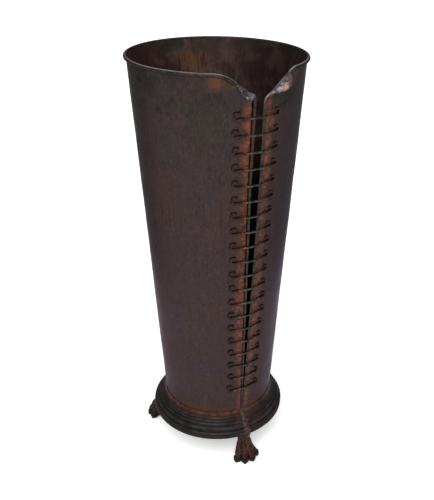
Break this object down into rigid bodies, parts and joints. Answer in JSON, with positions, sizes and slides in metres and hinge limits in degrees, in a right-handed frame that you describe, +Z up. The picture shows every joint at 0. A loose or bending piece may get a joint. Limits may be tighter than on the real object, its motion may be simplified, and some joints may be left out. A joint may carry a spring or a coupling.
{
  "type": "umbrella stand",
  "caption": "Tapered round sheet-metal umbrella stand, laced with wire up an open front seam under a folded collar, on a stepped round base with paw feet.",
  "frame": {"origin": "on the axis of the round body, at the floor that the paw feet stand on", "axes": "+Z up along the body's axis, -Y towards the laced front opening and the front foot, +X to the right of someone standing behind the stand and looking out over its front"},
  "size_m": [0.254, 0.2581, 0.63],
  "materials": {
    "body_sheet": "dark gunmetal-brown patina with purple and copper mottling, satin",
    "wire": "plain drawn wire, hidden in the rim",
    "lacing_wire": "dull grey wire, rusted at the hooks",
    "moulding": "near-black grey with worn ridges and rust in the top cove",
    "weld": "lumpy bead with a rusty brown skin",
    "base_plate": "dark brown, rust-stained",
    "paw": "cast, rusty red-brown with dark claws",
    "fasteners": "dull plated steel"
  },
  "bodies": {
    "root": {"body_shell": "body_sheet", "rim_wire": "wire", "lacing_stitch_01": "lacing_wire", "lacing_stitch_02": "lacing_wire", "lacing_stitch_03": "lacing_wire", "lacing_stitch_04": "lacing_wire", "lacing_stitch_05": "lacing_wire", "lacing_stitch_06": "lacing_wire", "lacing_stitch_07": "lacing_wire", "lacing_stitch_08": "lacing_wire", "lacing_stitch_09": "lacing_wire", "lacing_stitch_10": "lacing_wire", "lacing_stitch_11": "lacing_wire", "lacing_stitch_12": "lacing_wire", "lacing_stitch_13": "lacing_wire", "lacing_stitch_14": "lacing_wire", "lacing_stitch_15": "lacing_wire", "lacing_stitch_16": "lacing_wire", "lacing_stitch_17": "lacing_wire", "lacing_stitch_18": "lacing_wire", "lacing_stitch_19": "lacing_wire", "lacing_stitch_20": "lacing_wire", "base_moulding": "moulding", "base_seam_weld": "weld", "base_plate": "base_plate", "paw_foot_front": "paw", "paw_foot_rear_right": "paw", "paw_foot_rear_left": "paw", "foot_screws": "fasteners", "foot_washers": "fasteners"}
  },
  "joints": []
}
